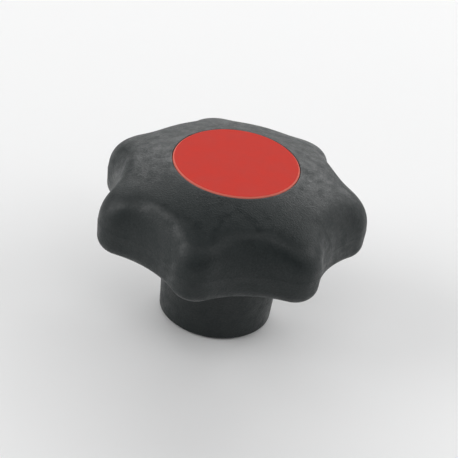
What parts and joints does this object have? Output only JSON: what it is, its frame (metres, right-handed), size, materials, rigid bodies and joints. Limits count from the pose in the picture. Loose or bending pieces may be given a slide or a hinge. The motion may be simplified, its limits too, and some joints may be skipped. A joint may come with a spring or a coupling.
{
  "type": "star knob",
  "caption": "Lobed star knob for clamping by hand: moulded grip on a tapered hub, metal bush with a blind thread, and a coloured cover cap in the top.",
  "frame": {"origin": "centre of the bush's foot face, where the thread's axis leaves the knob", "axes": "+Z along the thread's axis, from the foot to the cover cap; the first lobe points along -Y"},
  "size_m": [0.062, 0.0607, 0.04],
  "materials": {
    "grip_polyamide": "fine moulded grain, satin",
    "bush_brass": "turned",
    "cap_polyamide": "satin"
  },
  "bodies": {
    "root": {"grip": "grip_polyamide", "threaded_bush": "bush_brass", "cover_cap": "cap_polyamide"}
  },
  "joints": []
}
